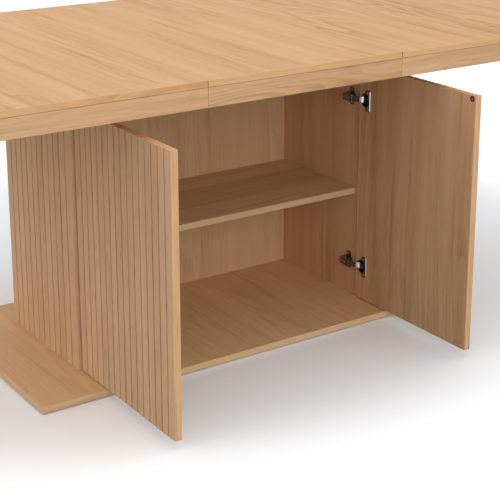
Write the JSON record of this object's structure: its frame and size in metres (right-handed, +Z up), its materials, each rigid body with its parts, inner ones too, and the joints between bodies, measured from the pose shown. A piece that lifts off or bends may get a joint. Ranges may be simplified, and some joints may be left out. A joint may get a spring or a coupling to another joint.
{
  "type": "extending dining table with cabinet pedestal",
  "caption": "Extending table with a lift-out leaf and two sliding halves, on a slatted two-door cabinet pedestal with a shelf and a flat base plate.",
  "frame": {"origin": "on the floor under the middle of the base plate", "axes": "+X along the table's length, -Y out of the door side, +Z up"},
  "size_m": [2.126, 1.1035, 0.76],
  "materials": {
    "oak_top": "satin oak-grain board",
    "oak_slats": "satin oak-grain slatted board",
    "oak_board": "satin oak-grain board",
    "beech": "planed hardwood",
    "hinge_steel": "nickel-plated steel",
    "rail_aluminium": "mill-finish extrusion",
    "dark_plastic": "matt moulded plastic"
  },
  "bodies": {
    "pedestal": {"base_plate": "oak_board", "floor_glides": "dark_plastic", "base_screws": "hinge_steel", "side_panel_left": "oak_slats", "side_panel_right": "oak_slats", "back_panel": "oak_slats", "cabinet_top": "oak_board", "top_dowels": "beech", "shelf": "oak_board", "shelf_pins": "hinge_steel", "latch_housings": "dark_plastic", "bearer_left": "beech", "bearer_right": "beech", "bearer_screws": "hinge_steel", "rail_front": "rail_aluminium", "rail_back": "rail_aluminium", "rail_screws": "hinge_steel", "hinge_plates_left": "hinge_steel", "hinge_plates_right": "hinge_steel", "hinge_plate_screws_left": "hinge_steel", "hinge_plate_screws_right": "hinge_steel", "hinge_arms_left": "hinge_steel", "hinge_arms_right": "hinge_steel"},
    "leaf": {"leaf_panel": "oak_top", "leaf_apron_front": "oak_top", "leaf_apron_back": "oak_top", "leaf_glue_blocks": "beech", "leaf_pegs": "beech"},
    "top_left": {"top_panel_left": "oak_top", "apron_front_left": "oak_top", "apron_back_left": "oak_top", "apron_end_left": "oak_top", "glue_blocks_left": "beech", "runner_front_left": "beech", "runner_back_left": "beech", "runner_screws_left": "hinge_steel"},
    "door_left": {"door_panel_left": "oak_slats", "hinge_cups_left": "hinge_steel", "cup_screws_left": "hinge_steel", "strike_disc_left": "dark_plastic"},
    "hinge_link_lower_left": {"hinge_link_lower_left": "hinge_steel"},
    "hinge_link_upper_left": {"hinge_link_upper_left": "hinge_steel"},
    "latch_plunger_left": {"latch_plunger_left": "dark_plastic"},
    "top_right": {"top_panel_right": "oak_top", "apron_front_right": "oak_top", "apron_back_right": "oak_top", "apron_end_right": "oak_top", "glue_blocks_right": "beech", "runner_front_right": "beech", "runner_back_right": "beech", "runner_screws_right": "hinge_steel"},
    "door_right": {"door_panel_right": "oak_slats", "hinge_cups_right": "hinge_steel", "cup_screws_right": "hinge_steel", "strike_disc_right": "dark_plastic"},
    "hinge_link_lower_right": {"hinge_link_lower_right": "hinge_steel"},
    "hinge_link_upper_right": {"hinge_link_upper_right": "hinge_steel"},
    "latch_plunger_right": {"latch_plunger_right": "dark_plastic"}
  },
  "joints": [
    {"name": "door_left_swing", "type": "hinge", "parent": "pedestal", "child": "door_left", "pos_m": [-0.417, -0.188, 0.34], "axis": [0, 0, 1], "range_deg": [-10, 90]},
    {"name": "hinge_link_lower_left_turn", "type": "hinge", "parent": "pedestal", "child": "hinge_link_lower_left", "pos_m": [-0.3851, -0.1629, 0.34], "axis": [0, 0, 1], "range_deg": [-40, 6]},
    {"name": "hinge_link_upper_left_turn", "type": "hinge", "parent": "pedestal", "child": "hinge_link_upper_left", "pos_m": [-0.3851, -0.1629, 0.34], "axis": [0, 0, 1], "range_deg": [-40, 6]},
    {"name": "latch_left_press", "type": "slide", "parent": "pedestal", "child": "latch_plunger_left", "axis": [0, 1, 0], "range_m": [0, 0.003], "stiffness_N_per_m": 400},
    {"name": "top_left_slide", "type": "slide", "parent": "pedestal", "child": "top_left", "axis": [-1, 0, 0], "range_m": [0, 0.04]},
    {"name": "door_right_swing", "type": "hinge", "parent": "pedestal", "child": "door_right", "pos_m": [0.417, -0.188, 0.34], "axis": [0, 0, 1], "range_deg": [-90, 10]},
    {"name": "hinge_link_lower_right_turn", "type": "hinge", "parent": "pedestal", "child": "hinge_link_lower_right", "pos_m": [0.3851, -0.1629, 0.34], "axis": [0, 0, 1], "range_deg": [-6, 40]},
    {"name": "hinge_link_upper_right_turn", "type": "hinge", "parent": "pedestal", "child": "hinge_link_upper_right", "pos_m": [0.3851, -0.1629, 0.34], "axis": [0, 0, 1], "range_deg": [-6, 40]},
    {"name": "latch_right_press", "type": "slide", "parent": "pedestal", "child": "latch_plunger_right", "axis": [0, 1, 0], "range_m": [0, 0.003], "stiffness_N_per_m": 400},
    {"name": "top_right_slide", "type": "slide", "parent": "pedestal", "child": "top_right", "axis": [1, 0, 0], "range_m": [0, 0.04]},
    {"name": "leaf_lift", "type": "slide", "parent": "pedestal", "child": "leaf", "axis": [0, 0, 1], "range_m": [0, 0.3]}
  ],
  "couplings": [
    {"joint": "hinge_link_lower_left_turn", "follows": "door_left_swing", "ratio": -0.415},
    {"joint": "hinge_link_upper_left_turn", "follows": "door_left_swing", "ratio": -0.415},
    {"joint": "hinge_link_lower_right_turn", "follows": "door_right_swing", "ratio": -0.415},
    {"joint": "hinge_link_upper_right_turn", "follows": "door_right_swing", "ratio": -0.415}
  ]
}
